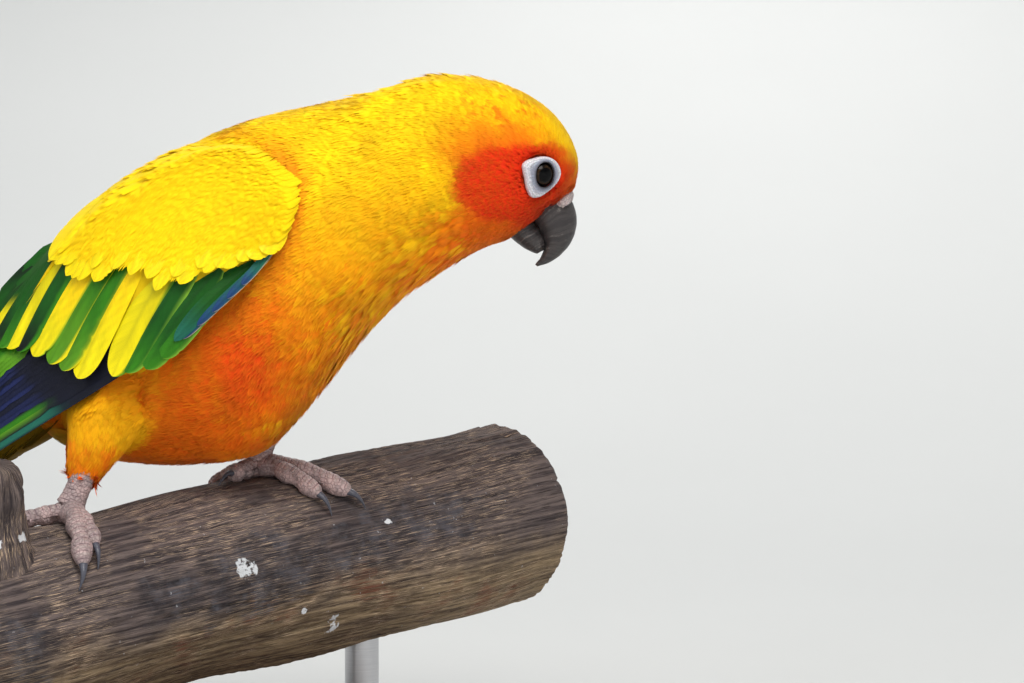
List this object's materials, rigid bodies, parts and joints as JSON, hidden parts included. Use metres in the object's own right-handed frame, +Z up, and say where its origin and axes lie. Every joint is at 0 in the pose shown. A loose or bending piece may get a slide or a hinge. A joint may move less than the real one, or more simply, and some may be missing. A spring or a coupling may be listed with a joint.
{
  "type": "sun conure",
  "caption": "Life-size still model of a sun conure leaning forward to preen, gripping a cut length of branch held over a round display base by short rods.",
  "frame": {"origin": "centre of the round base's underside", "axes": "+X the way the bird heads, +Y the bird's left side, +Z up"},
  "size_m": [0.2485, 0.1774, 0.1997],
  "materials": {
    "plumage_yellow": "soft yellow body feathers",
    "plumage_orange": "soft orange body feathers",
    "wing_feathers": "green, yellow and blue vaned feathers with a low sheen",
    "tail_feathers": "olive and blue vaned feathers with a low sheen",
    "horn_bill": "grey-black horn with a dull polish",
    "horn_claw": "dark grey horn",
    "bare_skin": "pale bare skin round the eye and on the cere",
    "toe_skin": "scaled pinkish grey skin",
    "eye": "wet dark brown eye",
    "bark": "weathered grey-brown branch",
    "base_wood": "dark turned wood, satin",
    "rod_steel": "brushed"
  },
  "bodies": {
    "root": {"torso": "plumage_orange", "neck": "plumage_yellow", "head": "plumage_orange", "cere": "bare_skin", "bill_upper": "horn_bill", "bill_lower": "horn_bill", "tail": "tail_feathers", "eye_right": "eye", "eye_left": "eye", "eye_ring_right": "bare_skin", "eye_ring_left": "bare_skin", "wing_right": "wing_feathers", "wing_left": "wing_feathers", "thigh_right": "plumage_orange", "thigh_left": "plumage_orange", "foot_right": "toe_skin", "foot_left": "toe_skin", "claw_right_outer_front": "horn_claw", "claw_right_inner_front": "horn_claw", "claw_right_outer_back": "horn_claw", "claw_right_inner_back": "horn_claw", "claw_left_outer_front": "horn_claw", "claw_left_inner_front": "horn_claw", "claw_left_outer_back": "horn_claw", "claw_left_inner_back": "horn_claw", "perch": "bark", "stand_base": "base_wood", "stand_rod_1": "rod_steel", "stand_rod_2": "rod_steel"}
  },
  "joints": []
}
